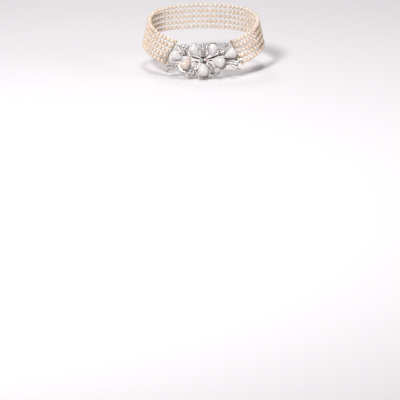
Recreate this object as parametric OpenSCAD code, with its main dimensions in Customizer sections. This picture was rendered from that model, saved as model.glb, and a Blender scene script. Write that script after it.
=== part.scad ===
// Five-row pearl choker with a jewelled centrepiece, in millimetres.
// +X is the wearer's left, -Y is the front and +Z is up. The origin is on the neck's axis,
// level with the middle of the band. In the names, left and right are as seen from the front.
// Lengths across the centrepiece are given as x, the distance from its centre line, v, the
// distance up its face, and w, the height off its back.

/* [Neck loop] */
// Half width of the top row
loop_half_width = 54; // [50:0.5:60]
// Depth of the loop as a share of its width
loop_depth = 0.89; // [0.8:0.01:1]
// Height of the top row at the back
back_height = 18.85; // [14:0.05:22]
// Fall of the top row from the back to the front
front_fall = 21.3; // [16:0.1:26]
// How flat the top row runs before it rises at the sides
side_flat = 2.8; // [0:0.1:4]

/* [Pearl rows] */
// Diameter of a row pearl
pearl_d = 4.5; // [4:0.1:4.5]
// Diameter of the drilled hole in a pearl
bore_d = 0.9; // [0.9:0.05:1.2]
// Diameter of the silk thread
silk_d = 0.5; // [0.3:0.05:0.5]
// Diameter of a knot between two pearls
knot_d = 0.84; // [0.7:0.02:0.84]
// Height of the band from the top row to the bottom row
band_height = 22; // [21:0.5:24]
// Outward lean of the band at the sides, in degrees
side_lean = 13; // [5:1:18]
// Extra lean of the band at the front, in degrees
front_lean = 10; // [0:1:12]

/* [Centrepiece] */
// Radius that the centrepiece is bowed to
bow_r = 76; // [70:1:90]
// Backward slope of its face, in degrees
face_slope = 23; // [18:1:28]
// Thickness of the open gallery behind it
gallery_t = 0.7; // [0.6:0.05:0.8]
// Height of the leaf sprays off the back
spray_w = 4.3; // [4:0.1:4.6]
// Thickness of a leaf blade
blade_t = 1.2; // [1:0.1:1.4]
// Distance between two stones along a blade
stone_pitch = 1.7; // [1.6:0.05:2]

/* [Clasp] */
// Length of the clasp box
box_l = 12; // [11:0.5:13]
// Width of the clasp box
box_w = 10; // [9:0.5:11]
// Height of the clasp box
box_h = 2.7; // [2.6:0.05:2.8]
// Wall of the clasp box
box_wall = 0.45; // [0.4:0.05:0.5]

/* [Hidden] */
$fn = 48;
ROWS = 5;
// A side's rows run from its end bar round to the nape in three stretches.
STRETCH = ["front", "side", "back"];
STRETCH_ENDS = [0, 0.365, 0.685, 1];
STRETCH_PEARLS = [10, 9, 9];
STRETCH_LEAD = [1.5, 0, 0];
TOP_START = 30.6;
LOW_START = 37.3;
NAPE = 180;
NAPE_GAP = 0.02;
THREAD_RELIEF = 0.44;
BAR_RELIEF = 0.04;
ARC_STEPS = 48;

ROD_R = 0.6;
ROD_OVER = 1.6;
LOOP_R = 1.1;
LOOP_TUBE = 0.32;
// Lugs of the two end bars: place along the bar, and the foot as x, v on the gallery or as x, y
// on the clasp's tongue.
LUG_R = 0.5;
LEFT_LUGS = [[0.125, [-26.6, 14.4]], [0.375, [-28.8, 6.6]], [0.625, [-30, 3.8]], [0.875, [-33.6, -3.4]]];
RIGHT_LUGS = [[0.58, [7.7, 1.8]], [0.67, [7.7, -0.3]]];

// The clasp box lies behind the right end of the gallery.
CLASP_X = 25.5;
CLASP_V = 3;
CLASP_W = -0.5;
PLATE_T = 0.45;
PLATE_Z = box_wall + 0.15;
// The tongue's nose, beyond the mouth, is narrower on its upper side to clear a row's loop.
NOSE_L = 1.9;
NOSE_CUT = 1.7;
LEAF_T = 0.3;
LEAF_RISE = 3.5;

GALLERY_W = 2.2;
GALLERY_TOP = GALLERY_W + gallery_t;
GALLERY_BAR_R = 0.45;
GALLERY_HUB_R = 0.8;
RING_IN = 3.4;
RING_OUT = 5;
BOW_Y = -51.3;
BOW_Z = -16;

// Drop pearls: place of the round end, its radius, and the direction of the tip.
DROPS = [
    [-9, 10.5, 5.2, -54], [8.4, 11.2, 5.1, -97], [-25.6, 3.2, 5.1, -17], [25.4, 5.5, 5.2, -159],
    [-16.7, -5.7, 5.3, 55], [15.2, -3.2, 5.3, 157], [-0.4, -12, 5.5, 98]
];
DROP_TILT = 13.7;
DROP_SHARP = 1.15;
DROP_A = 1.338;
DROP_OFFSET = -0.489;
PEG_R = 0.4;

// Leaf sprays: centre; blades as root, bend, tip and half width; the bar behind them; the posts
// down to the gallery; and single stones as x, v and radius.
SPRAYS = [
    [[-18.5, 9], [
        [[-18, 4.1], [-20.8, 7.4], [-22.8, 12.8], 1],
        [[-16.6, 4.7], [-18, 9.4], [-20, 15.2], 1.05],
        [[-15.2, 5.2], [-14.9, 11], [-17.2, 16.6], 1]],
        [[-20.4, 9.2], [-15.6, 10]], [[-16.5, 5.4], [-18.4, 11.8]], []],
    [[0.6, 9.5], [
        [[-1.6, 2.4], [-2.4, 8.1], [-2, 15.2], 1],
        [[0, 2.6], [-0.1, 10.1], [0.3, 17], 1],
        [[1.5, 3.1], [1.9, 11], [2.7, 17.6], 0.9]],
        [[-2.2, 8.4], [2, 8.4]], [[0, 4.4], [0.1, 12.6]], []],
    [[17.5, 9.5], [
        [[14, 5.4], [14.6, 10.8], [16.6, 15.6], 0.95],
        [[15.4, 4.8], [17.3, 11.4], [20, 16.6], 1.05],
        [[16.8, 4.7], [19.6, 9.8], [23, 15.4], 1]],
        [[15, 9.9], [20.2, 10.6]], [[15.7, 5.6], [18.2, 11.8]], [[24.6, 13.6, 1]]],
    [[-29, -7], [
        [[-23, -4.6], [-29.6, -4.3], [-34.6, -8.9], 1.2],
        [[-23.4, -7.2], [-29.8, -8.6], [-34.8, -13.2], 1.2]],
        [[-27.6, -4.6], [-28.6, -9.4]], [[-24.5, -7.4], [-31, -9]], []],
    [[-9.5, -10], [
        [[-4.9, -2], [-9.6, -5.6], [-11.2, -12.6], 1.1],
        [[-4.6, -3.6], [-7, -8.4], [-8.6, -15.8], 1.1],
        [[-10, -14.8], [-13.4, -17.6], [-17, -14.4], 1]],
        [[-10.2, -9.6], [-7.7, -10.6], [-8.4, -14.4], [-12, -16]],
        [[-7.9, -12.3], [-13.4, -15.4]], [[-13.9, -12.4, 1.1]]],
    [[9.5, -10], [
        [[4.4, -2.4], [6.2, -8.6], [6.8, -14.2], 1.05],
        [[6.2, -3.6], [9.2, -7.4], [10, -13.6], 1.05],
        [[8, -14.6], [12, -16.4], [15.4, -12.6], 1]],
        [[6, -9.6], [9, -9.6], [9.7, -13], [11, -15.2]],
        [[5.6, -8.7], [9.7, -12.9]], [[12.4, -11.8, 1], [14.4, -11.2, 0.9]]],
    [[29, -5], [
        [[21.6, -1.8], [28, -1], [34, -4.6], 1.2],
        [[21.9, -3.8], [26.4, -6.8], [34.4, -11.2], 1.2]],
        [[27.6, -1.8], [27.6, -7]], [[24, -4.9], [32.9, -4.6]], [[35, -1.4, 1.1]]]
];
STONE_FROM = 0.08;
STONE_TO = 0.92;
CENTRE_STONES = [[-2.1, -0.2, 1.5], [1.6, 0.1, 1.4]];

// Bars of the gallery: two ends, and how far short of each end the bar stops.
GALLERY_BARS = [
    [[0, 0], [-9, 10.5], 3, 4.2], [[0, 0], [8.4, 11.2], 3, 4.2], [[0, 0], [-0.4, -12], 3, 4.2],
    [[0, 0], [0.1, 14.5], 3, 0], [[0, 0], [-16.2, 4.6], 3, 0], [[0, 0], [15.4, 4.8], 3, 0],
    [[-16.2, 4.6], [-18.8, 13], 0, 0], [[15.4, 4.8], [19, 13.6], 0, 0],
    [[0, 0], [-8.6, -13.4], 3, 0], [[0, 0], [8.4, -13], 3, 0],
    [[-8.6, -13.4], [-15.6, -16.2], 0, 0], [[8.4, -13], [14.6, -12.2], 0, 0],
    [[-16.7, -5.7], [-13.9, -12.4], 4.2, 0], [[-13.9, -12.4], [-13.4, -15.4], 0, 0],
    [[-16.7, -5.7], [-32.6, -9.2], 4.2, 0], [[15.2, -3.2], [32, -6.4], 4.2, 0],
    [[-16.2, 4.6], [-25.6, 3.2], 0, 4.2], [[15.4, 4.8], [25.4, 5.5], 0, 4.2],
    [[-25.6, 3.2], [-16.7, -5.7], 4.2, 4.2], [[25.4, 5.5], [15.2, -3.2], 4.2, 4.2],
    [[-18.2, 11], [-9, 10.5], 0, 4.2], [[17.9, 11], [8.4, 11.2], 0, 4.2],
    [[-9, 10.5], [0.1, 11], 4.2, 0], [[8.4, 11.2], [0.1, 11], 4.2, 0],
    [[-16.7, -5.7], [-7, -10.9], 4.2, 0], [[15.2, -3.2], [7, -10.8], 4.2, 0],
    [[-18.8, 13], [-26.6, 14.4], 0, 0], [[19, 13.6], [24.6, 13.6], 0, 0],
    [[-30.6, -8.8], [-33.6, -3.4], 0, 0], [[32, -6.4], [35, -1.4], 0, 0]
];
GALLERY_JOINTS = [[-16.2, 4.6], [-18.8, 13], [15.4, 4.8], [19, 13.6], [-8.6, -13.4], [8.4, -13], [32, -6.4]];

// Each side's name, and 1 where it is the mirror image.
SIDES = [["left", 1], ["right", 0]];

// ---- Geometry of the neck loop -------------------------------------------------------------

function mix(a, b, t) = a + (b - a) * t;

function top_point(angle) = [
    loop_half_width * sin(angle),
    -loop_depth * loop_half_width * cos(angle),
    back_height - front_fall / 2 * (1 + cos(angle)) + side_flat * (1 - cos(2 * angle))
];

function low_point(angle) =
    let (lean = side_lean + front_lean * cos(angle))
    top_point(angle) + band_height * [sin(lean) * sin(angle), -sin(lean) * cos(angle), -cos(lean)];

// Row 1 is the top one. t runs from the end bar at 0 to the nape at 1.
function row_point(row, t) = mix(
    top_point(mix(TOP_START, NAPE, t)),
    low_point(mix(LOW_START, NAPE, t)),
    (row - 1) / (ROWS - 1)
);

// Table of arc length against t along one stretch of a row.
function arc_table(row, from, to) = [
    for (k = 0, run = 0, here = row_point(row, from); k <= ARC_STEPS;
         k = k + 1,
         run = run + norm(row_point(row, mix(from, to, k / ARC_STEPS)) - here),
         here = row_point(row, mix(from, to, k / ARC_STEPS)))
        [run, mix(from, to, k / ARC_STEPS)]
];

// Knots of one stretch, equally spaced along the row.
function knots(row, part) =
    let (
        table = arc_table(row, STRETCH_ENDS[part], STRETCH_ENDS[part + 1]),
        total = table[ARC_STEPS][0],
        lead = STRETCH_LEAD[part],
        count = STRETCH_PEARLS[part]
    )
    [for (k = [0:count]) row_point(row, lookup(lead + (total - lead) * k / count, table))];

module along(a, b) {
    d = b - a;
    translate(a) rotate([0, acos(d.z / norm(d)), atan2(d.y, d.x)]) children();
}

module rod(a, b, r) along(a, b) cylinder(h = norm(b - a), r = r);

// ---- Pearl rows ----------------------------------------------------------------------------

module row_pearl() difference() {
    sphere(d = pearl_d);
    cylinder(h = pearl_d + 1, d = bore_d, center = true);
}

module pearl_row(row, part, mirrored) color("ivory") mirror([mirrored, 0, 0]) {
    k = knots(row, part);
    for (i = [1:len(k) - 1]) along(mix(k[i - 1], k[i], 0.5), k[i]) row_pearl();
}

// One length of thread along Z, from start to l, with a knot at l if it has one. The next length
// starts a hair beyond the knot, so that a row can bend there.
module knotted_thread(start, l, has_knot) {
    translate([0, 0, start]) cylinder(h = l - start, r = silk_d / 2);
    if (has_knot) translate([0, 0, l]) sphere(r = knot_d / 2);
}

module gimp_loop() rotate_extrude() translate([LOOP_R, 0]) circle(r = LOOP_TUBE);

module silk(part, mirrored) color("linen") mirror([mirrored, 0, 0]) for (row = [1:ROWS]) {
    k = knots(row, part);
    last = len(k) - 1;
    for (i = [1:last]) {
        at_bar = part == 0 && i == 1;
        at_nape = part == 2 && i == last;
        along(k[i - 1], k[i]) knotted_thread(
            at_bar ? -BAR_RELIEF : THREAD_RELIEF,
            norm(k[i] - k[i - 1]) - (at_nape ? NAPE_GAP : 0),
            !at_nape
        );
    }
    if (part == 0) along(row_point(row, 0), row_point(ROWS + 1, 0)) gimp_loop();
}

// ---- End bars ------------------------------------------------------------------------------

function bar_point(t) = mix(row_point(1, 0), row_point(ROWS, 0), t);
function on_left(p) = [-p.x, p.y, p.z];

module end_rod() {
    over = ROD_OVER / norm(bar_point(1) - bar_point(0));
    rod(bar_point(-over), bar_point(1 + over), ROD_R);
    for (t = [-over, 1 + over]) translate(bar_point(t)) sphere(r = ROD_R * 1.6);
}

module left_end_bar() color("goldenrod") {
    mirror([1, 0, 0]) end_rod();
    for (lug = LEFT_LUGS)
        rod(on_left(bar_point(lug[0])), face_point(lug[1].x, lug[1].y, GALLERY_W + 0.3), LUG_R);
}

module right_end_bar() color("goldenrod") {
    end_rod();
    for (lug = RIGHT_LUGS)
        rod(bar_point(lug[0]), clasp_point(lug[1].x, lug[1].y, PLATE_Z + PLATE_T / 2), LUG_R);
}

// ---- Centrepiece: the bowed, sloping face --------------------------------------------------

function cone_r(v) = bow_r - v * sin(face_slope);
function turn(x, v) = asin(x / cone_r(v));
function face_point(x, v, w) =
    let (a = turn(x, v), r = cone_r(v))
    [r * sin(a), BOW_Y + bow_r - r * cos(a), BOW_Z + v * cos(face_slope)]
    + w * [cos(face_slope) * sin(a), -cos(face_slope) * cos(a), sin(face_slope)];

// Puts its children on the face: X across it, Y up it and Z out of it.
module at(x, v, w = 0)
    translate(face_point(x, v, w)) rotate([90 - face_slope, 0, turn(x, v)]) children();

// A place on the face, as seen in the flat frame of the point c.
function flat(p, c) = let (a = turn(c.x, c.y)) [(p.x - cone_r(p.y) * sin(a)) / cos(a), p.y - c.y];

function clasp_point(x, y, z) =
    let (a = turn(CLASP_X, CLASP_V), s = face_slope)
    face_point(CLASP_X, CLASP_V, CLASP_W + z)
    + x * [cos(a), sin(a), 0] + y * [-sin(s) * sin(a), sin(s) * cos(a), cos(s)];

// The point a distance l from a towards b.
function toward(a, b, l) = a + (b - a) * (l / norm(b - a));

module gallery() color("silver") {
    mid = GALLERY_W + gallery_t / 2;
    for (d = DROPS) at(d.x, d.y, GALLERY_W) difference() {
        cylinder(h = gallery_t, r = RING_OUT);
        translate([0, 0, -1]) cylinder(h = gallery_t + 2, r = RING_IN);
    }
    at(0, 0, GALLERY_W) cylinder(h = gallery_t, r = 3.6);
    for (bar = GALLERY_BARS) {
        a = bar[2] == 0 ? bar[0] : toward(bar[0], bar[1], bar[2]);
        b = bar[3] == 0 ? bar[1] : toward(bar[1], bar[0], bar[3]);
        rod(face_point(a.x, a.y, mid), face_point(b.x, b.y, mid), GALLERY_BAR_R);
    }
    for (p = GALLERY_JOINTS) at(p.x, p.y, mid - 0.4) cylinder(h = 0.8, r = GALLERY_HUB_R);
}

// ---- Drop pearls and their collets ---------------------------------------------------------

function drop_height(r) = GALLERY_TOP + 0.1 + r * 1.04;

// Half outline of a drop: round at the back, pointed at the front, about its own long axis.
function drop_outline(r) = [
    for (t = [0:7.5:180])
        [r * DROP_A * sin(t) * pow(sin(t / 2), DROP_SHARP), r * (DROP_A * cos(t) - DROP_OFFSET)]
];

module drop_pearl(k) color("seashell") {
    d = DROPS[k - 1];
    at(d.x, d.y, drop_height(d[2])) difference() {
        rotate([0, 90 + DROP_TILT, d[3]]) rotate_extrude() polygon(drop_outline(d[2]));
        translate([0, 0, -d[2] - 1]) cylinder(h = 3.6, r = PEG_R + 0.05);
    }
}

module collet(r, toward) {
    h = drop_height(r);
    difference() {
        translate([0, 0, GALLERY_TOP - 0.05]) cylinder(h = 2.1, r = r + 0.3);
        translate([0, 0, h]) sphere(r = r * 1.03);
        translate([0, 0, h]) rotate([0, 90 + DROP_TILT, toward]) cylinder(h = 2 * r, r = r * 0.92);
        translate([0, 0, GALLERY_W]) cylinder(h = 4, r = RING_IN);
    }
    translate([0, 0, GALLERY_W + 0.05]) {
        rotate([0, 0, toward]) translate([-RING_IN - 0.3, -0.45, 0]) cube([2 * RING_IN + 0.6, 0.9, 0.5]);
        cylinder(h = 3.1, r = PEG_R);
    }
}

module collets() color("silver") {
    for (d = DROPS) at(d.x, d.y) collet(d[2], d[3]);
    for (s = CENTRE_STONES) at(s.x, s.y) difference() {
        translate([0, 0, GALLERY_TOP - 0.05]) cylinder(h = 3.2, r = s[2] + 0.25);
        translate([0, 0, GALLERY_TOP + 3.2]) sphere(r = s[2] + 0.02);
    }
}

module centre_stones() for (k = [0, 1]) color(k == 0 ? "darkseagreen" : "thistle") {
    s = CENTRE_STONES[k];
    at(s.x, s.y, GALLERY_TOP + 3.2) sphere(r = s[2]);
}

// ---- Leaf sprays and their stones ----------------------------------------------------------

function bend(p, u) = mix(mix(p[0], p[1], u), mix(p[1], p[2], u), u);
function heading(p, u) = let (d = mix(p[1] - p[0], p[2] - p[1], u)) d / norm(d);
function half_width(p, u) = p[3] * sqrt(sin(180 * (0.12 + 0.86 * u)));
function blade_length(p) = norm(p[1] - p[0]) / 2 + norm(p[2] - p[1]) / 2 + norm(p[2] - p[0]) / 2;

function flat_blade(p, c) = [flat(p[0], c), flat(p[1], c), flat(p[2], c), p[3]];

function blade_edge(p, side) = [
    for (u = [0:0.125:1]) let (d = heading(p, u)) bend(p, u) + side * half_width(p, u) * [-d.y, d.x]
];

module blade(p) polygon(concat(blade_edge(p, 1), [for (k = [8:-1:0]) blade_edge(p, -1)[k]]));

// Stones of a blade: place in the spray's flat frame and radius.
function blade_stones(p) =
    let (count = round(blade_length(p) * (STONE_TO - STONE_FROM) / stone_pitch))
    [for (k = [0:count - 1]) let (u = STONE_FROM + (STONE_TO - STONE_FROM) * (k + 0.5) / count)
        [bend(p, u).x, bend(p, u).y, 0.62 * half_width(p, u)]];

function blade_top(k) = spray_w + blade_t + (k == 1 ? 0.25 : 0.05 * k);

module leaf_spray(n) color("gainsboro") {
    s = SPRAYS[n - 1];
    c = s[0];
    at(c.x, c.y) difference() {
        union() {
            for (k = [0:len(s[1]) - 1]) translate([0, 0, blade_top(k) - blade_t])
                linear_extrude(blade_t) blade(flat_blade(s[1][k], c));
            bar = [for (p = s[2]) let (q = flat(p, c)) [q.x, q.y, spray_w]];
            for (k = [1:len(bar) - 1]) rod(bar[k - 1], bar[k] - [0, 0, 0.15], 0.5);
            for (p = s[3]) let (q = flat(p, c)) translate([q.x, q.y, GALLERY_W + 0.1])
                cylinder(h = spray_w - GALLERY_W + 0.2, r = 0.45);
            for (lone = s[4]) let (q = flat(lone, c)) translate([q.x, q.y, GALLERY_W + 0.4])
                cylinder(h = spray_w + blade_t - GALLERY_W - 0.4, r = lone[2] + 0.3);
        }
        for (k = [0:len(s[1]) - 1]) for (g = blade_stones(flat_blade(s[1][k], c)))
            translate([g.x, g.y, blade_top(k) - 0.8]) cylinder(h = 1, r = 0.92 * g[2]);
        for (lone = s[4]) let (q = flat(lone, c))
            translate([q.x, q.y, spray_w + blade_t - 0.9]) cylinder(h = 1, r = 0.92 * lone[2]);
    }
}

module brilliant(r) translate([0, 0, -0.75 * r]) cylinder(h = 0.82 * r, r1 = 0.1 * r, r2 = r);

module brilliants() color("white") for (s = SPRAYS) {
    c = s[0];
    at(c.x, c.y) {
        for (k = [0:len(s[1]) - 1]) for (g = blade_stones(flat_blade(s[1][k], c)))
            translate([g.x, g.y, blade_top(k) + 0.02]) brilliant(g[2]);
        for (lone = s[4]) let (q = flat(lone, c))
            translate([q.x, q.y, spray_w + blade_t + 0.02]) brilliant(lone[2]);
    }
}

// ---- Box clasp -----------------------------------------------------------------------------

// The clasp's own frame: X along the slide, Y up the face and Z out of it.
module clasp_frame() at(CLASP_X, CLASP_V, CLASP_W) children();

module clasp_box() color("silver") clasp_frame() difference() {
    translate([-box_l / 2, -box_w / 2, 0]) cube([box_l, box_w, box_h]);
    translate([-box_l / 2 + 0.6, -box_w / 2 + 0.6, box_wall])
        cube([box_l, box_w - 1.2, box_h - 2 * box_wall]);
}

module clasp_tongue() color("goldenrod") clasp_frame() {
    w = box_w - 1.8;
    translate([-box_l / 2 + 0.9, -w / 2, PLATE_Z]) cube([box_l - 1.3, w, PLATE_T]);
    translate([box_l / 2 - 1, -w / 2, PLATE_Z]) cube([1 + NOSE_L, w - NOSE_CUT, PLATE_T]);
}

module catch_leaf() color("goldenrod") clasp_frame()
    translate([-box_l / 2 + 1, 0, PLATE_Z + PLATE_T + 0.05]) rotate([0, -LEAF_RISE, 0]) {
        translate([0, -1.9, 0]) cube([box_l, 3.8, LEAF_T]);
        translate([box_l - 0.7, -0.8, 0]) cube([0.6, 1.6, 1.1]);
    }

// ---- Nodes ---------------------------------------------------------------------------------

gallery();
clasp_box();
left_end_bar();
collets();
for (k = [1:7]) drop_pearl(k);
for (k = [1:7]) leaf_spray(k);
brilliants();
centre_stones();
clasp_tongue();
right_end_bar();
catch_leaf();
for (side = SIDES, p = [0:2], row = [1:ROWS])
    pearl_row(row, p, side[1]);
for (side = SIDES, p = [0:2])
    silk(p, side[1]);
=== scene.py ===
"""Five-row pearl choker with a jewelled centrepiece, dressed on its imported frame.

Lengths are in millimetres until a piece is finished, which scales it to metres. +X is the
wearer's left, -Y the front and +Z up. Left and right in names are as seen from the front, so the
left half of the band lies towards -X. Across the centrepiece's face a place is given as x, the
distance from its centre line, v, the distance up the face, and w, the height off its back.
"""
import math
import random

import bmesh
import bpy
from mathutils import Matrix, Vector, noise


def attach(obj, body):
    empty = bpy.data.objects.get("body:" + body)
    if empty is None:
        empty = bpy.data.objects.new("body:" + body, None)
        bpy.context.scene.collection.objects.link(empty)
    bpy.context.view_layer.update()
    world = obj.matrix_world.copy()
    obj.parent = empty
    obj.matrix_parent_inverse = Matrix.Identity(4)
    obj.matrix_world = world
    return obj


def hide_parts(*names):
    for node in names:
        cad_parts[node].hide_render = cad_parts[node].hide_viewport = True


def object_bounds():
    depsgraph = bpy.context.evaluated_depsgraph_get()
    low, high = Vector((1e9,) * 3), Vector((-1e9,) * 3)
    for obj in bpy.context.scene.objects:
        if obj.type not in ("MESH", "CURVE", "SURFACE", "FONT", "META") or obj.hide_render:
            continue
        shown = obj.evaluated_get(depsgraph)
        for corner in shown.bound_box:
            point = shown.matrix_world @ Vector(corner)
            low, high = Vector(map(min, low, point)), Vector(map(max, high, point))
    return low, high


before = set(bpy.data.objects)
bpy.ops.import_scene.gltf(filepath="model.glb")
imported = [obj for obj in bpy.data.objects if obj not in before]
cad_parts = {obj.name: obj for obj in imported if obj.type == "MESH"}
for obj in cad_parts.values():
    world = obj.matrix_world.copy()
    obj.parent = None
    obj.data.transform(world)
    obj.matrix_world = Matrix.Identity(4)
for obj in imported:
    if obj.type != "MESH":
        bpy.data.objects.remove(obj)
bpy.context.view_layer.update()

MM = 0.001
SIDES = ("left", "right")
STRETCHES = ("front", "side", "back")
ROWS = range(1, 6)

# The neck loop and the pearl rows
LOOP_HALF_WIDTH = 54.0
LOOP_DEPTH = 0.89
BACK_HEIGHT = 18.85
FRONT_FALL = 21.3
SIDE_FLAT = 2.8
BAND_HEIGHT = 22.0
SIDE_LEAN = math.radians(13)
FRONT_LEAN = math.radians(10)
TOP_START = math.radians(30.6)
LOW_START = math.radians(37.3)
STRETCH_ENDS = (0, 0.365, 0.685, 1)
STRETCH_PEARLS = (10, 9, 9)
STRETCH_LEAD = (1.5, 0, 0)
ARC_STEPS = 48
PEARL_R = 2.25
BORE_R = 0.45
PEARL_TURNS = 12
PEARL_BANDS = 6
PEARL_SEED = 41
PEARL_SIZES = (0.975, 1.0)
TONE_SPREAD = 0.7
TONE_STEP = 0.15
LOOP_R = 1.1
WRAP_R = 0.38
WRAP_WIRE = 0.07
WRAP_TURNS = 24
ROUND_TURNS = 28

# The centrepiece's bowed, sloping face
BOW_R = 76.0
BOW_Y = -51.3
BOW_Z = -16.0
SLOPE = math.radians(23)
GALLERY_W = 2.2
GALLERY_TOP = 2.9
SPRAY_W = 4.3
BLADE_T = 1.2
STONE_PITCH = 1.7
STONE_FROM = 0.08
STONE_TO = 0.92
STONE_SHARE = 0.62
LONE_TOP = SPRAY_W + BLADE_T
BLADE_STEPS = 24
BLADE_LANES = 10
BAR_R = 0.5
POST_R = 0.45
GRAIN_R = 0.21
CLAW_R = 0.22
CLAWS = 6

# Drop pearls: place of the round end, its radius, direction of the tip, and how lumpy it is
DROPS = [
    (-9.0, 10.5, 5.2, -54, 0.16), (8.4, 11.2, 5.1, -97, 0.10), (-25.6, 3.2, 5.1, -17, 0.16),
    (25.4, 5.5, 5.2, -159, 0.18), (-16.7, -5.7, 5.3, 55, 0.22), (15.2, -3.2, 5.3, 157, 0.20),
    (-0.4, -12.0, 5.5, 98, 0.10),
]
ROSE_DROP = 5
DROP_TILT = math.radians(13.7)
DROP_SHARP = 1.15
DROP_A = 1.338
DROP_OFFSET = -0.489
DROP_STEPS = 18
DROP_TURNS = 24
# The beaded rims of the collets, which leave out the side that a drop's tip lies over
BEAD_R = 0.33
BEAD_PITCH = 0.74
BEAD_W = GALLERY_TOP + 2.1
BEAD_GAP = math.radians(42)

# Leaf sprays: centre; blades as root, bend, tip and half width; the bar behind them; the posts
# down to the gallery; and single stones as x, v and radius
SPRAYS = [
    ((-18.5, 9), [
        ((-18, 4.1), (-20.8, 7.4), (-22.8, 12.8), 1.0),
        ((-16.6, 4.7), (-18, 9.4), (-20, 15.2), 1.05),
        ((-15.2, 5.2), (-14.9, 11), (-17.2, 16.6), 1.0)],
        [(-20.4, 9.2), (-15.6, 10)], [(-16.5, 5.4), (-18.4, 11.8)], []),
    ((0.6, 9.5), [
        ((-1.6, 2.4), (-2.4, 8.1), (-2, 15.2), 1.0),
        ((0, 2.6), (-0.1, 10.1), (0.3, 17), 1.0),
        ((1.5, 3.1), (1.9, 11), (2.7, 17.6), 0.9)],
        [(-2.2, 8.4), (2, 8.4)], [(0, 4.4), (0.1, 12.6)], []),
    ((17.5, 9.5), [
        ((14, 5.4), (14.6, 10.8), (16.6, 15.6), 0.95),
        ((15.4, 4.8), (17.3, 11.4), (20, 16.6), 1.05),
        ((16.8, 4.7), (19.6, 9.8), (23, 15.4), 1.0)],
        [(15, 9.9), (20.2, 10.6)], [(15.7, 5.6), (18.2, 11.8)], [(24.6, 13.6, 1.0)]),
    ((-29, -7), [
        ((-23, -4.6), (-29.6, -4.3), (-34.6, -8.9), 1.2),
        ((-23.4, -7.2), (-29.8, -8.6), (-34.8, -13.2), 1.2)],
        [(-27.6, -4.6), (-28.6, -9.4)], [(-24.5, -7.4), (-31, -9)], []),
    ((-9.5, -10), [
        ((-4.9, -2), (-9.6, -5.6), (-11.2, -12.6), 1.1),
        ((-4.6, -3.6), (-7, -8.4), (-8.6, -15.8), 1.1),
        ((-10, -14.8), (-13.4, -17.6), (-17, -14.4), 1.0)],
        [(-10.2, -9.6), (-7.7, -10.6), (-8.4, -14.4), (-12, -16)],
        [(-7.9, -12.3), (-13.4, -15.4)], [(-13.9, -12.4, 1.1)]),
    ((9.5, -10), [
        ((4.4, -2.4), (6.2, -8.6), (6.8, -14.2), 1.05),
        ((6.2, -3.6), (9.2, -7.4), (10, -13.6), 1.05),
        ((8, -14.6), (12, -16.4), (15.4, -12.6), 1.0)],
        [(6, -9.6), (9, -9.6), (9.7, -13), (11, -15.2)],
        [(5.6, -8.7), (9.7, -12.9)], [(12.4, -11.8, 1.0), (14.4, -11.2, 0.9)]),
    ((29, -5), [
        ((21.6, -1.8), (28, -1), (34, -4.6), 1.2),
        ((21.9, -3.8), (26.4, -6.8), (34.4, -11.2), 1.2)],
        [(27.6, -1.8), (27.6, -7)], [(24, -4.9), (32.9, -4.6)], [(35, -1.4, 1.1)]),
]
# Ribbons round the collets: drop, where it starts and how far it runs in degrees, and its width
RIBBONS = [
    (5, 150, 150, 1.5), (6, 250, 140, 1.4), (7, 205, 130, 1.2), (3, 110, 130, 1.0),
    (4, 285, 120, 1.0), (1, 60, 110, 0.8), (2, 20, 120, 0.8),
]
RIBBON_CLEAR = 0.45
RIBBON_W = 4.4
# Low scrolls over the gallery's bars between the drops: root, bend, tip and half width
SCROLLS = [
    ((-3.4, 1.6), (-9.4, 2.2), (-15.4, 5.6), 1.0), ((3.4, 1.6), (9, 2.0), (14.6, 5.6), 1.0),
    ((-4.4, -2.2), (-7.4, -0.8), (-11.6, -2.2), 0.8), ((4.0, -1.4), (6.6, 0.4), (9.6, -0.4), 0.8),
]
# The two larger stones: x, v, radius and kind; and the beads round each bezel
CENTRE_STONES = [(-2.1, -0.2, 1.5, "moss_stone"), (1.6, 0.1, 1.4, "rose_stone")]
BEZEL_BEADS = 14
BEZEL_BEAD_R = 0.17

# The stage, in metres: lamps as name, place, width and watts; and the camera's place
FLOOR_GAP = 0.0003
WORLD_STRENGTH = 0.24
LAMPS = [
    ("key", (-0.4, -0.8, 0.8), 0.28, 11.5), ("fill", (0.95, -0.35, 0.4), 0.5, 2.5),
    ("top", (0.05, 0.1, 1.1), 0.3, 3.5), ("rear", (-0.2, 0.95, 0.7), 0.3, 2.0),
]
CAMERA_PITCH = math.radians(16.306)
CAMERA_DISTANCE = 2.4945
CAMERA_ASIDE = 0.0014
CAMERA_ABOVE = 0.06652
CAMERA_LENS = 225


# ---- Places on the face ----------------------------------------------------------------------

def face_turn(x, v):
    """How far the bowed face has turned at x, in radians."""
    return math.asin(x / (BOW_R - v * math.sin(SLOPE)))


def face(x, v, w=0.0):
    """The matrix that stands a piece on the face: X across it, Y up it and Z out of it."""
    radius = BOW_R - v * math.sin(SLOPE)
    turn = face_turn(x, v)
    base = Vector((
        radius * math.sin(turn),
        BOW_Y + BOW_R - radius * math.cos(turn),
        BOW_Z + v * math.cos(SLOPE),
    ))
    spin = turned(turn) @ Matrix.Rotation(math.pi / 2 - SLOPE, 4, "X")
    return Matrix.Translation(base) @ spin @ Matrix.Translation((0, 0, w))


def flat(point, centre):
    """A place on the face, in the flat frame that touches the face at centre."""
    turn = face_turn(*centre)
    radius = BOW_R - point[1] * math.sin(SLOPE)
    return Vector(((point[0] - radius * math.sin(turn)) / math.cos(turn), point[1] - centre[1]))


def laid(blade, centre):
    """A blade's root, bend, tip and half width, in the flat frame at centre."""
    return [flat(point, centre) for point in blade[:3]] + [blade[3]]


# ---- Building pieces -------------------------------------------------------------------------

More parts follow.
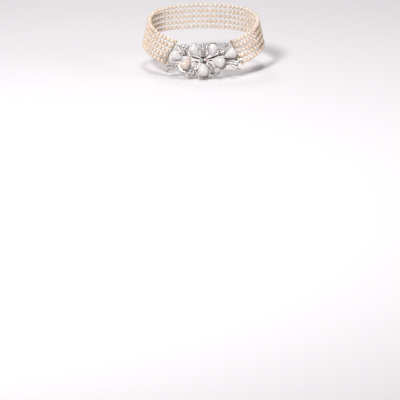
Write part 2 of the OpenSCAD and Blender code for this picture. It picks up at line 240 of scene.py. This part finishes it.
def finish_piece(name, bm, finishes, body, replaced=(), smooth=True, levels=0):
    """Turns a bmesh in millimetres into a piece in metres that rides on a body."""
    bmesh.ops.scale(bm, vec=(MM, MM, MM), verts=bm.verts)
    mesh = bpy.data.meshes.new(name)
    bm.to_mesh(mesh)
    bm.free()
    for polygon in mesh.polygons:
        polygon.use_smooth = smooth
    for finish in finishes:
        mesh.materials.append(finish)
    piece = bpy.data.objects.new(name, mesh)
    bpy.context.scene.collection.objects.link(piece)
    if levels:
        rounding = piece.modifiers.new("rounding", "SUBSURF")
        rounding.levels = rounding.render_levels = levels
    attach(piece, body)
    if replaced:
        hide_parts(*replaced)
    return piece


def to_shape(bm):
    """Keeps a bmesh as a mesh that add_copy can place many times."""
    bmesh.ops.recalc_face_normals(bm, faces=bm.faces)
    mesh = bpy.data.meshes.new("shape")
    bm.to_mesh(mesh)
    bm.free()
    return mesh


def add_copy(bm, shape, matrix):
    """Adds a placed copy of a shape to a bmesh."""
    placed = shape.copy()
    placed.transform(matrix)
    bm.from_mesh(placed)
    bpy.data.meshes.remove(placed)


def scaled(x, y, z):
    return Matrix.Diagonal((x, y, z, 1))


def turned(angle):
    return Matrix.Rotation(angle, 4, "Z")


def spun(profile, steps, sweep=math.tau, closed=False):
    """A bmesh made by spinning a profile of (radius, height) points round Z."""
    bm = bmesh.new()
    points = [bm.verts.new((r, 0, z)) for r, z in profile]
    ends = points[1:] + points[:1] if closed else points[1:]
    edges = [bm.edges.new(pair) for pair in zip(points, ends)]
    bmesh.ops.spin(
        bm, geom=points + edges, cent=(0, 0, 0), axis=(0, 0, 1), angle=sweep,
        steps=steps, use_merge=sweep == math.tau, use_duplicate=False,
    )
    bmesh.ops.remove_doubles(bm, verts=bm.verts, dist=1e-4)
    bmesh.ops.recalc_face_normals(bm, faces=bm.faces)
    return bm


def along(a, b):
    """The matrix that stands a piece at a with its Z axis towards b."""
    return Matrix.Translation(a) @ (b - a).to_track_quat("Z", "Y").to_matrix().to_4x4()


def add_rod(bm, a, b, radius):
    """Adds a rod that runs from a to b."""
    made = bmesh.ops.create_cone(
        bm, cap_ends=True, segments=10, radius1=radius, radius2=radius, depth=(b - a).length,
    )
    middle = along(a, b) @ Matrix.Translation((0, 0, (b - a).length / 2))
    bmesh.ops.transform(bm, matrix=middle, verts=made["verts"])


def bead_shape(turns=8, bands=5):
    bm = bmesh.new()
    bmesh.ops.create_uvsphere(bm, u_segments=turns, v_segments=bands, radius=1)
    return to_shape(bm)


def ring_shape(major, minor, turns, sides):
    return to_shape(spun([
        (major + minor * math.cos(math.tau * k / sides), minor * math.sin(math.tau * k / sides))
        for k in range(sides)
    ], turns, closed=True))


def paint(bm, name, values):
    """Stores one number per vertex as an attribute that a material can read."""
    layer = bm.verts.layers.float.new(name)
    for vert, value in zip(bm.verts, values):
        vert[layer] = value


# ---- Materials -------------------------------------------------------------------------------

def node_group(name, inputs, outputs):
    """A new node group, with its input and output nodes."""
    group = bpy.data.node_groups.new(name, "ShaderNodeTree")
    for label, kind, value in inputs:
        socket = group.interface.new_socket(label, in_out="INPUT", socket_type=kind)
        socket.default_value = value
    for label, kind in outputs:
        group.interface.new_socket(label, in_out="OUTPUT", socket_type=kind)
    return group, group.nodes.new("NodeGroupInput"), group.nodes.new("NodeGroupOutput")


def clouds_group():
    """Soft mottling from 0 to 1, for tint, wear and bands of lustre."""
    group, given, made = node_group("clouds", [
        ("Scale", "NodeSocketFloat", 500.0), ("Swirl", "NodeSocketFloat", 0.0),
        ("From", "NodeSocketFloat", 0.3), ("To", "NodeSocketFloat", 0.7),
    ], [("Mask", "NodeSocketFloat")])
    place = group.nodes.new("ShaderNodeTexCoord")
    mottle = group.nodes.new("ShaderNodeTexNoise")
    mottle.inputs["Detail"].default_value = 4
    spread = group.nodes.new("ShaderNodeMapRange")
    spread.clamp = True
    wire = group.links.new
    wire(place.outputs["Object"], mottle.inputs["Vector"])
    wire(given.outputs["Scale"], mottle.inputs["Scale"])
    wire(given.outputs["Swirl"], mottle.inputs["Distortion"])
    wire(mottle.outputs["Fac"], spread.inputs["Value"])
    wire(given.outputs["From"], spread.inputs["From Min"])
    wire(given.outputs["To"], spread.inputs["From Max"])
    wire(spread.outputs["Result"], made.inputs["Mask"])
    return group


def grain_group():
    """A normal with fine unevenness."""
    group, given, made = node_group("grain", [
        ("Scale", "NodeSocketFloat", 900.0), ("Depth", "NodeSocketFloat", 0.00002),
    ], [("Normal", "NodeSocketVector")])
    place = group.nodes.new("ShaderNodeTexCoord")
    mottle = group.nodes.new("ShaderNodeTexNoise")
    mottle.inputs["Detail"].default_value = 3
    bump = group.nodes.new("ShaderNodeBump")
    wire = group.links.new
    wire(place.outputs["Object"], mottle.inputs["Vector"])
    wire(given.outputs["Scale"], mottle.inputs["Scale"])
    wire(mottle.outputs["Fac"], bump.inputs["Height"])
    wire(given.outputs["Depth"], bump.inputs["Distance"])
    wire(bump.outputs["Normal"], made.inputs["Normal"])
    return group


CLOUDS = clouds_group()
GRAIN = grain_group()


class Finish:
    """A material with a Principled shader, and short ways to feed it."""

    def __init__(self, name, color, roughness, metallic=0.0, **plain):
        self.material = bpy.data.materials.new(name)
        self.material.use_nodes = True
        self.material.diffuse_color = (*color, 1)
        self.tree = self.material.node_tree
        self.shader = self.tree.nodes["Principled BSDF"]
        self.shader.inputs["Base Color"].default_value = (*color, 1)
        self.shader.inputs["Roughness"].default_value = roughness
        self.shader.inputs["Metallic"].default_value = metallic
        for socket, value in plain.items():
            self.shader.inputs[socket.replace("_", " ")].default_value = value

    def shared(self, group, **values):
        node = self.tree.nodes.new("ShaderNodeGroup")
        node.node_tree = group
        for socket, value in values.items():
            node.inputs[socket].default_value = value
        return node.outputs[0]

    def attribute(self, name):
        node = self.tree.nodes.new("ShaderNodeAttribute")
        node.attribute_name = name
        return node.outputs["Fac"]

    def ramp(self, mask, *stops):
        node = self.tree.nodes.new("ShaderNodeValToRGB")
        band = node.color_ramp
        while len(band.elements) < len(stops):
            band.elements.new(0.5)
        for element, (place, color) in zip(band.elements, stops):
            element.position = place
            element.color = (*color, 1)
        self.tree.links.new(mask, node.inputs["Fac"])
        return node.outputs["Color"]

    def blend(self, mask, a, b, amount=None):
        """Mixes two colours by a mask, or by a fixed amount."""
        node = self.tree.nodes.new("ShaderNodeMix")
        node.data_type = "RGBA"
        if amount is None:
            self.tree.links.new(mask, node.inputs["Factor"])
        else:
            node.inputs["Factor"].default_value = amount
        for socket, value in ((6, a), (7, b)):
            if isinstance(value, tuple):
                node.inputs[socket].default_value = (*value, 1)
            else:
                self.tree.links.new(value, node.inputs[socket])
        return node.outputs[2]

    def between(self, mask, low, high):
        node = self.tree.nodes.new("ShaderNodeMapRange")
        node.inputs["To Min"].default_value = low
        node.inputs["To Max"].default_value = high
        self.tree.links.new(mask, node.inputs["Value"])
        return node.outputs["Result"]

    def feed(self, **sources):
        for socket, source in sources.items():
            self.tree.links.new(source, self.shader.inputs[socket.replace("_", " ")])
        return self.material


def row_pearl_finish():
    f = Finish(
        "row pearl", (0.86, 0.78, 0.68), 0.24, Coat_Weight=1.0, Coat_Roughness=0.15, IOR=1.75,
        Subsurface_Weight=0.1, Subsurface_Scale=0.0012, Thin_Film_Thickness=320, Thin_Film_IOR=1.35,
    )
    body = f.ramp(
        f.attribute("tone"), (0.0, (0.72, 0.55, 0.37)), (0.2, (0.78, 0.63, 0.46)),
        (0.4, (0.80, 0.69, 0.54)), (0.55, (0.80, 0.66, 0.52)), (0.75, (0.82, 0.74, 0.62)),
        (1.0, (0.79, 0.75, 0.65)),
    )
    cloud = f.shared(CLOUDS, Scale=420.0, Swirl=0.6)
    color = f.blend(cloud, body, (0.86, 0.76, 0.65))
    shade = f.blend(None, body, color, amount=0.4)
    return f.feed(
        Base_Color=shade, Roughness=f.between(cloud, 0.18, 0.3),
        Normal=f.shared(GRAIN, Scale=1100.0, Depth=0.000012),
    )


def drop_pearl_finish(name, stops, roughness, depth):
    f = Finish(
        name, stops[1][1], 0.2, Coat_Weight=0.8, Coat_Roughness=0.05,
        Subsurface_Weight=0.1, Subsurface_Scale=0.0015, Thin_Film_Thickness=360, Thin_Film_IOR=1.38,
    )
    swirl = f.shared(CLOUDS, Scale=170.0, Swirl=1.6, From=0.28, To=0.72)
    return f.feed(
        Base_Color=f.ramp(swirl, *stops), Roughness=f.between(swirl, *roughness),
        Normal=f.shared(GRAIN, Scale=420.0, Depth=depth),
    )


def metal_finish(name, bright, dark, roughness, patina_and_shade=False):
    f = Finish(name, bright, roughness[0], metallic=1.0)
    worn = f.shared(CLOUDS, Scale=300.0, Swirl=0.4, From=0.42, To=0.72)
    color = f.blend(worn, bright, dark)
    # Darkens the silver towards near black by the blades' mask: dark patina and painted shade in the
    # channels, painted shade under the blades.
    if patina_and_shade:
        color = f.blend(f.attribute("patina_and_shade"), color, (0.15, 0.12, 0.10))
    return f.feed(
        Base_Color=color, Roughness=f.between(worn, *roughness),
        Normal=f.shared(GRAIN, Scale=900.0, Depth=0.00003),
    )


def stone_finish(name, stops):
    f = Finish(name, stops[0][1], 0.12, Coat_Weight=0.9, Coat_Roughness=0.04)
    cloud = f.shared(CLOUDS, Scale=900.0, Swirl=0.8)
    return f.feed(Base_Color=f.ramp(cloud, *stops), Normal=f.shared(GRAIN, Scale=700.0))


def silk_finish():
    f = Finish("silk thread", (0.82, 0.78, 0.70), 0.75, Sheen_Weight=0.4, Sheen_Roughness=0.4)
    strand = f.shared(CLOUDS, Scale=2600.0)
    return f.feed(
        Base_Color=f.blend(strand, (0.70, 0.65, 0.57), (0.88, 0.85, 0.79)),
        Normal=f.shared(GRAIN, Scale=3000.0, Depth=0.00006),
    )


ROW_PEARL = row_pearl_finish()
DROP_PEARL = drop_pearl_finish(
    "drop pearl",
    [
        (0.0, (0.52, 0.49, 0.52)), (0.35, (0.66, 0.64, 0.64)), (0.6, (0.76, 0.71, 0.68)),
        (1.0, (0.57, 0.60, 0.58)),
    ],
    (0.16, 0.3), 0.00009,
)
DROP_ROSE = drop_pearl_finish(
    "rose drop pearl",
    [
        (0.0, (0.50, 0.37, 0.31)), (0.35, (0.63, 0.50, 0.43)), (0.65, (0.70, 0.58, 0.50)),
        (1.0, (0.58, 0.51, 0.46)),
    ],
    (0.26, 0.42), 0.00012,
)
SILVER_SETTING = metal_finish("setting silver", (0.74, 0.72, 0.69), (0.40, 0.37, 0.34), (0.2, 0.42))
SILVER_LEAF = metal_finish(
    "leaf silver", (0.84, 0.79, 0.75), (0.54, 0.47, 0.42), (0.16, 0.34), patina_and_shade=True,
)
# A darker copy of the setting silver for the ribbons: painted shade round the collets, between the
# drops.
SHADED_RIBBON_SILVER = metal_finish("shaded ribbon silver", (0.60, 0.55, 0.51), (0.28, 0.24, 0.21), (0.28, 0.46))
# A darker copy of the silver for the gallery: painted shade, so the gaps behind the drops read as
# shadow.
SHADE_DARK_SILVER = metal_finish("shade dark silver", (0.30, 0.27, 0.25), (0.14, 0.12, 0.11), (0.3, 0.5))
GOLD = metal_finish("gold", (0.68, 0.47, 0.22), (0.30, 0.19, 0.09), (0.2, 0.4))
BRILLIANT = Finish(
    "brilliant", (0.95, 0.93, 0.92), 0.06, metallic=0.3,
    Transmission_Weight=0.15, IOR=2.2, Coat_Weight=0.6,
).material
MOSS_STONE = stone_finish("moss stone", [(0.0, (0.22, 0.27, 0.22)), (1.0, (0.47, 0.52, 0.44))])
ROSE_STONE = stone_finish("rose stone", [(0.0, (0.55, 0.38, 0.36)), (1.0, (0.78, 0.64, 0.60))])
SILK = silk_finish()


# ---- Pearl rows ------------------------------------------------------------------------------

def mix(a, b, t):
    return a + (b - a) * t


def row_point(row, t):
    """A place on row 1 to 5, where t is 0 at the end bar and 1 at the nape."""
    def top_point(angle):
        return Vector((
            LOOP_HALF_WIDTH * math.sin(angle),
            -LOOP_DEPTH * LOOP_HALF_WIDTH * math.cos(angle),
            BACK_HEIGHT - FRONT_FALL / 2 * (1 + math.cos(angle))
            + SIDE_FLAT * (1 - math.cos(2 * angle)),
        ))

    low_angle = mix(LOW_START, math.pi, t)
    lean = SIDE_LEAN + FRONT_LEAN * math.cos(low_angle)
    fall = BAND_HEIGHT * Vector((
        math.sin(lean) * math.sin(low_angle),
        -math.sin(lean) * math.cos(low_angle),
        -math.cos(lean),
    ))
    top = top_point(mix(TOP_START, math.pi, t))
    return top.lerp(top_point(low_angle) + fall, (row - 1) / 4)


def knots(row, part, mirrored):
    """Knots of one stretch of a row, equally spaced along it."""
    start, end = STRETCH_ENDS[part:part + 2]
    places = [mix(start, end, k / ARC_STEPS) for k in range(ARC_STEPS + 1)]
    points = [row_point(row, t) for t in places]
    runs = [0.0]
    for a, b in zip(points, points[1:]):
        runs.append(runs[-1] + (b - a).length)
    lead, count = STRETCH_LEAD[part], STRETCH_PEARLS[part]
    found = []
    for k in range(count + 1):
        run = lead + (runs[-1] - lead) * k / count
        step = next(i for i in range(1, ARC_STEPS + 1) if runs[i] >= run - 1e-6)
        share = (run - runs[step - 1]) / (runs[step] - runs[step - 1])
        point = row_point(row, mix(places[step - 1], places[step], share))
        found.append(Vector((-point.x, point.y, point.z)) if mirrored else point)
    return found


def row_pearl_shape():
    """A pearl with its drilled bore."""
    mouth = math.asin(BORE_R / PEARL_R)
    arc = [mix(mouth, math.pi - mouth, k / PEARL_BANDS) for k in range(PEARL_BANDS + 1)]
    outside = [(PEARL_R * math.sin(a), PEARL_R * math.cos(a)) for a in arc]
    return to_shape(spun(outside, PEARL_TURNS, closed=True))


def build_rows():
    seeded = random.Random(PEARL_SEED)
    shape = row_pearl_shape()
    for side in SIDES:
        for part, stretch in enumerate(STRETCHES):
            for row in ROWS:
                bm = bmesh.new()
                tones = []
                points = knots(row, part, side == "left")
                for a, b in zip(points, points[1:]):
                    size = [seeded.uniform(*PEARL_SIZES) for _ in range(3)]
                    twist = turned(seeded.uniform(0, math.tau))
                    add_copy(bm, shape, along((a + b) / 2, b) @ scaled(*size) @ twist)
                    tone = TONE_SPREAD * seeded.random() + TONE_STEP * part
                    tones += [tone] * len(shape.vertices)
                paint(bm, "tone", tones)
                name = f"{side}_{stretch}_row_{row}"
                finish_piece(
                    f"{name}_pearls", bm, [ROW_PEARL], f"{side}_{stretch}_band", [name],
                )


def build_loop_wraps():
    """The coils of fine gold wire that guard the thread where it loops round each end bar."""
    ring = ring_shape(WRAP_R, WRAP_WIRE, 10, 4)
    stand = Matrix.Translation((LOOP_R, 0, 0)) @ Matrix.Rotation(math.pi / 2, 4, "X")
    for side in SIDES:
        bm = bmesh.new()
        for row in ROWS:
            here, below = row_point(row, 0), row_point(row + 1, 0)
            if side == "left":
                here.x, below.x = -here.x, -below.x
            for k in range(WRAP_TURNS):
                spin = turned(math.tau * k / WRAP_TURNS)
                add_copy(bm, ring, along(here, below) @ spin @ stand)
        finish_piece(f"{side}_loop_wraps", bm, [GOLD], f"{side}_front_band")


# ---- Drop pearls and their settings ----------------------------------------------------------

def drop_height(radius):
    """How high a drop's round end sits over the back of the face."""
    return GALLERY_TOP + 0.1 + radius * 1.04


def build_drops():
    for k, (x, v, radius, aim, lumps) in enumerate(DROPS, 1):
        outline = []
        for step in range(DROP_STEPS + 1):
            t = math.pi * step / DROP_STEPS
            outline.append((
                radius * DROP_A * math.sin(t) * math.sin(t / 2) ** DROP_SHARP,
                radius * (DROP_A * math.cos(t) - DROP_OFFSET),
            ))
        bm = spun(outline, DROP_TURNS)
        tilt = Matrix.Rotation(math.pi / 2 + DROP_TILT, 4, "Y")
        lean = turned(math.radians(aim)) @ tilt
        bmesh.ops.transform(bm, matrix=lean, verts=bm.verts)
        for vert in bm.verts:
            front = min(1.0, max(0.0, (vert.co.z / radius + 0.55) / 0.6))
            wave = noise.noise(vert.co / radius * 1.25 + Vector((7.3 * k, 1.9, 0)))
            ripple = noise.noise(vert.co / radius * 3.1 + Vector((0, 3.7 * k, 2.2)))
            vert.co *= 1 - 0.02 * front + front * lumps * (0.5 * wave + 0.16 * ripple)
        bmesh.ops.transform(bm, matrix=face(x, v, drop_height(radius)), verts=bm.verts)
        rose = k == ROSE_DROP
        finish_piece(
            f"drop_{k}", bm, [DROP_ROSE if rose else DROP_PEARL], "centrepiece",
            [f"drop_pearl_{k}"], levels=2,
        )


def ribbon_shape(radius, sweep, width):
    """A raised ribbon round part of a collet, which tapers to nothing at both ends."""
    bm = spun([
        (radius, 0), (radius + width * 0.9, 0.1), (radius + width, 0.7), (radius + width * 0.7, 1.1),
        (radius + width * 0.35, 0.85), (radius, 1.1),
    ], ROUND_TURNS, sweep, closed=True)
    bmesh.ops.holes_fill(bm, edges=[edge for edge in bm.edges if edge.is_boundary], sides=0)
    for vert in bm.verts:
        share = (math.atan2(vert.co.y, vert.co.x) % math.tau) / sweep
        keep = 0.25 + 0.75 * math.sqrt(max(0.0, math.sin(math.pi * min(share, 1.0))))
        reach = vert.co.xy.length
        vert.co.xy *= (radius + (reach - radius) * keep) / reach
        vert.co.z *= keep
    return to_shape(bm)


def build_settings():
    """Beaded rims and ribbons on the collets, and the bezels of the two centre stones."""
    bead = bead_shape()
    beads = bmesh.new()
    for x, v, radius, aim, _ in DROPS:
        count = round(math.tau * radius / BEAD_PITCH)
        for k in range(count):
            away = math.tau * k / count
            if abs((away - math.radians(aim) + math.pi) % math.tau - math.pi) < BEAD_GAP:
                continue
            place = turned(away) @ Matrix.Translation((radius - 0.02, 0, 0))
            add_copy(beads, bead, face(x, v, BEAD_W) @ place @ scaled(BEAD_R, BEAD_R, BEAD_R))
    finish_piece("collet_beads", beads, [SILVER_SETTING], "centrepiece")

    ribbons = bmesh.new()
    for drop, start, sweep, width in RIBBONS:
        x, v, radius = DROPS[drop - 1][:3]
        shape = ribbon_shape(radius + RIBBON_CLEAR, math.radians(sweep), width)
        add_copy(ribbons, shape, face(x, v, RIBBON_W) @ turned(math.radians(start)))
    finish_piece(
        "setting_ribbons", ribbons, [SHADED_RIBBON_SILVER], "centrepiece", levels=1,
    )

    bezels = bmesh.new()
    for x, v, radius, _ in CENTRE_STONES:
        band = to_shape(spun([
            (radius + 0.32, 0), (radius + 0.34, 3.3), (radius + 0.18, 3.75), (radius - 0.02, 3.7),
            (radius - 0.06, 3.2), (radius - 0.06, 0),
        ], ROUND_TURNS, closed=True))
        add_copy(bezels, band, face(x, v, GALLERY_TOP - 0.05))
        size = scaled(BEZEL_BEAD_R, BEZEL_BEAD_R, BEZEL_BEAD_R)
        for k in range(BEZEL_BEADS):
            spin = turned(math.tau * k / BEZEL_BEADS)
            place = spin @ Matrix.Translation((radius + 0.36, 0, 3.3))
            add_copy(bezels, bead, face(x, v, GALLERY_TOP) @ place @ size)
    finish_piece("centre_bezels", bezels, [SILVER_SETTING], "centrepiece")

    for k, (x, v, radius, kind) in enumerate(CENTRE_STONES, 1):
        dome = bmesh.new()
        bmesh.ops.create_uvsphere(dome, u_segments=ROUND_TURNS, v_segments=16, radius=radius)
        stand = face(x, v, GALLERY_TOP + 3.2) @ scaled(1, 1, 0.95)
        bmesh.ops.transform(dome, matrix=stand, verts=dome.verts)
        finish_piece(
            f"centre_stone_{k}", dome, [MOSS_STONE if kind == "moss_stone" else ROSE_STONE],
            "centrepiece", ["centre_stones"],
        )


# ---- Leaf sprays and their stones ------------------------------------------------------------

def bend(blade, u):
    """A place on a blade's middle line, where u is 0 at its root and 1 at its tip."""
    return blade[0].lerp(blade[1], u).lerp(blade[1].lerp(blade[2], u), u)


def across(blade, u):
    """The direction across a blade at u."""
    way = (blade[1] - blade[0]).lerp(blade[2] - blade[1], u).normalized()
    return Vector((-way.y, way.x))


def half_width(blade, u):
    return blade[3] * math.sqrt(math.sin(math.pi * (0.12 + 0.86 * u)))


def arch(u):
    """How far a blade rises at u."""
    return 0.4 * math.sin(math.pi * u) - 0.1


def blade_top(k):
    """The height of a spray's blade, the second of which lies over its neighbours."""
    return SPRAY_W + BLADE_T + (0.25 if k == 1 else 0.05 * k)


def blade_stones(blade):
    """Stones of a blade: how far along it and radius."""
    first, second = blade[1] - blade[0], blade[2] - blade[1]
    length = (first.length + second.length + (blade[2] - blade[0]).length) / 2
    count = round(length * (STONE_TO - STONE_FROM) / STONE_PITCH)
    places = [mix(STONE_FROM, STONE_TO, (k + 0.5) / count) for k in range(count)]
    return [(u, STONE_SHARE * half_width(blade, u)) for u in places]


def channel(side):
    """The height of a blade's upper face, where side is 0 at its middle and 1 at its edge."""
    if side < 0.5:
        return -0.3
    if side < 0.7:
        return -0.2
    return 0.05 if side < 0.9 else -0.16


def blade_mesh(blade, top):
    """One leaf blade: a channel with raised rims, arched along its length. Also a value for each
    vertex that darkens the silver: 1 in the channel for dark patina and painted shade, 0.5
    underneath for painted shade and 0 on the rims."""
    bm = bmesh.new()
    bmesh.ops.create_grid(bm, x_segments=BLADE_STEPS, y_segments=BLADE_LANES, size=0.5)
    raised = bmesh.ops.extrude_face_region(bm, geom=bm.faces[:], use_keep_orig=True)
    uppers = {item for item in raised["geom"] if isinstance(item, bmesh.types.BMVert)}
    patina_shade_levels = []
    for vert in bm.verts:
        u, s = vert.co.x + 0.5, vert.co.y * 2
        side = abs(s)
        if vert in uppers:
            rise = channel(side)
            width = half_width(blade, u) * 1.04
            # The channel is fully darkened, as dark patina and painted shade; the rims stay bright.
            patina_shade_levels.append(1.0 if side < 0.7 else 0.0)
        else:
            rise = -BLADE_T + 0.25 * (1 - side)
            width = half_width(blade, u) * 0.84
            # The underside is half darkened, as painted shade under the blade.
            patina_shade_levels.append(0.5)
        place = bend(blade, u) + across(blade, u) * s * width
        vert.co = (place.x, place.y, top + arch(u) + rise)
    bmesh.ops.recalc_face_normals(bm, faces=bm.faces)
    return bm, patina_shade_levels


def brilliant_shape():
    """A round brilliant of radius 1, with its table, crown, girdle and culet."""
    bm = bmesh.new()
    for count, radius, height, turn in (
        (8, 0.56, 0.3, 0.5), (8, 0.82, 0.17, 0), (16, 1, 0.03, 0), (16, 1, -0.04, 0),
        (8, 0.45, -0.42, 0.5), (1, 0, -0.72, 0),
    ):
        for k in range(count):
            angle = math.tau * (k + turn) / count
            bm.verts.new((radius * math.cos(angle), radius * math.sin(angle), height))
    bmesh.ops.convex_hull(bm, input=bm.verts)
    bmesh.ops.dissolve_limit(bm, angle_limit=math.radians(1), verts=bm.verts, edges=bm.edges)
    return to_shape(bm)


def build_sprays():
    brilliant = brilliant_shape()
    grain = bead_shape(6, 4)
    stones = bmesh.new()
    for n, (centre, blades, bar, posts, lone) in enumerate(SPRAYS, 1):
        stand = face(*centre)
        leaf, patina_shade_levels = bmesh.new(), []
        trim = bmesh.new()
        for k, blade in enumerate(blades):
            blade = laid(blade, centre)
            shape, depth = blade_mesh(blade, blade_top(k))
            add_copy(leaf, to_shape(shape), stand)
            patina_shade_levels += depth
            seats = blade_stones(blade)
            for u, radius in seats:
                place = bend(blade, u)
                seat = Matrix.Translation((place.x, place.y, blade_top(k) + arch(u) + 0.02))
                add_copy(stones, brilliant, stand @ seat @ scaled(radius, radius, radius))
            for (u, _), (after, _) in zip(seats, seats[1:]):
                between = (u + after) / 2
                height = blade_top(k) + arch(between) - 0.06
                for s in (-0.52, 0.52):
                    way = across(blade, between) * s * half_width(blade, between)
                    place = bend(blade, between) + way
                    seat = Matrix.Translation((place.x, place.y, height))
                    add_copy(trim, grain, stand @ seat @ scaled(GRAIN_R, GRAIN_R, GRAIN_R))
        # The blades' mask of patina and painted shade.
        paint(leaf, "patina_and_shade", patina_shade_levels)
        finish_piece(
            f"spray_{n}_blades", leaf, [SILVER_LEAF], "centrepiece", [f"leaf_spray_{n}"],
            levels=1,
        )
        places = [stand @ Vector((*flat(p, centre), SPRAY_W)) for p in bar]
        for a, b in zip(places, places[1:]):
            add_rod(trim, a, b, BAR_R)
        for p in posts:
            foot = flat(p, centre)
            low, high = (stand @ Vector((*foot, w)) for w in (GALLERY_W + 0.1, SPRAY_W + 0.3))
            add_rod(trim, low, high, POST_R)
        for x, v, radius in lone:
            seat = stand @ Matrix.Translation((*flat((x, v), centre), 0))
            cup = to_shape(spun([
                (0, GALLERY_W + 0.4), (radius * 0.6, GALLERY_W + 0.4), (radius * 0.7, SPRAY_W),
                (radius + 0.3, LONE_TOP), (radius + 0.16, LONE_TOP + 0.16),
                (radius * 0.8, LONE_TOP - 0.3), (0, LONE_TOP - 0.8),
            ], 20))
            add_copy(trim, cup, seat)
            lifted = seat @ Matrix.Translation((0, 0, LONE_TOP + 0.04))
            add_copy(stones, brilliant, lifted @ scaled(radius, radius, radius))
            for k in range(CLAWS):
                spin = turned(math.tau * k / CLAWS)
                claw = spin @ Matrix.Translation((radius + 0.1, 0, 0.08))
                add_copy(trim, grain, lifted @ claw @ scaled(CLAW_R, CLAW_R, CLAW_R))
        paint(trim, "patina_and_shade", [0.0] * len(trim.verts))
        finish_piece(
            f"spray_{n}_trim", trim, [SILVER_LEAF], "centrepiece", [f"leaf_spray_{n}"],
        )
    finish_piece(
        "brilliant_stones", stones, [BRILLIANT], "centrepiece", ["brilliants"],
        smooth=False,
    )


def build_scrolls():
    """Scrolled blades that lie low between the drops and hide the gallery's bars. They darken the
    centre where shade falls between the drops: their channels carry the same patina and painted
    shade as the sprays' blades, so they read as dark lines.
    """
    scrolls, patina_shade_levels = bmesh.new(), []
    for scroll in SCROLLS:
        centre = scroll[1]
        shape, depth = blade_mesh(laid(scroll, centre), GALLERY_TOP + BLADE_T)
        add_copy(scrolls, to_shape(shape), face(*centre))
        patina_shade_levels += depth
    # The scrolls' mask of patina and painted shade.
    paint(scrolls, "patina_and_shade", patina_shade_levels)
    finish_piece(
        "gallery_scrolls", scrolls, [SILVER_LEAF], "centrepiece", levels=1,
    )


# ---- What shows of the frame itself ----------------------------------------------------------

def dress_frame():
    # The gallery takes the darker silver, painted shade for the gaps behind the drops.
    finishes = {
        "gallery": SHADE_DARK_SILVER, "collets": SILVER_SETTING, "clasp_box": SILVER_SETTING,
        "left_end_bar": GOLD, "right_end_bar": GOLD, "clasp_tongue": GOLD, "catch_leaf": GOLD,
    }
    for side in SIDES:
        for stretch in STRETCHES:
            finishes[f"{side}_{stretch}_silk"] = SILK
    for name, finish in finishes.items():
        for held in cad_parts[name].material_slots:
            held.material = finish


# ---- Floor, light and camera -----------------------------------------------------------------

def build_stage():
    floor_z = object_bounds()[0][2] - FLOOR_GAP
    bm = bmesh.new()
    bmesh.ops.create_grid(bm, x_segments=1, y_segments=1, size=6)
    bmesh.ops.translate(bm, vec=(0, 0, floor_z), verts=bm.verts)
    mesh = bpy.data.meshes.new("floor")
    bm.to_mesh(mesh)
    bm.free()
    mesh.materials.append(Finish("floor", (0.80, 0.77, 0.79), 0.8).material)
    floor = bpy.data.objects.new("floor", mesh)
    bpy.context.scene.collection.objects.link(floor)

    world = bpy.data.worlds.new("studio")
    world.use_nodes = True
    sky = world.node_tree.nodes["Background"]
    sky.inputs["Color"].default_value = (0.90, 0.90, 0.92, 1)
    sky.inputs["Strength"].default_value = WORLD_STRENGTH
    bpy.context.scene.world = world

    for name, place, width, power in LAMPS:
        lamp = bpy.data.lights.new(name, "AREA")
        lamp.shape = "DISK"
        lamp.size = width
        lamp.energy = power
        holder = bpy.data.objects.new(name, lamp)
        holder.location = place
        holder.rotation_euler = (-Vector(place)).to_track_quat("-Z", "Y").to_euler()
        bpy.context.scene.collection.objects.link(holder)


def build_camera():
    ahead = Vector((0, math.cos(CAMERA_PITCH), -math.sin(CAMERA_PITCH)))
    up = Vector((0, math.sin(CAMERA_PITCH), math.cos(CAMERA_PITCH)))
    lens = bpy.data.cameras.new("camera")
    lens.sensor_width = 36
    lens.lens = CAMERA_LENS
    lens.clip_end = 50
    camera = bpy.data.objects.new("camera", lens)
    aim = ahead + Vector((CAMERA_ASIDE, 0, 0)) + CAMERA_ABOVE * up
    camera.location = -CAMERA_DISTANCE * aim
    camera.rotation_euler = (math.pi / 2 - CAMERA_PITCH, 0, 0)
    bpy.context.scene.collection.objects.link(camera)
    bpy.context.scene.camera = camera


bpy.context.scene.view_settings.view_transform = "Standard"
build_rows()
build_loop_wraps()
build_drops()
build_settings()
build_sprays()
build_scrolls()
dress_frame()
build_stage()
build_camera()
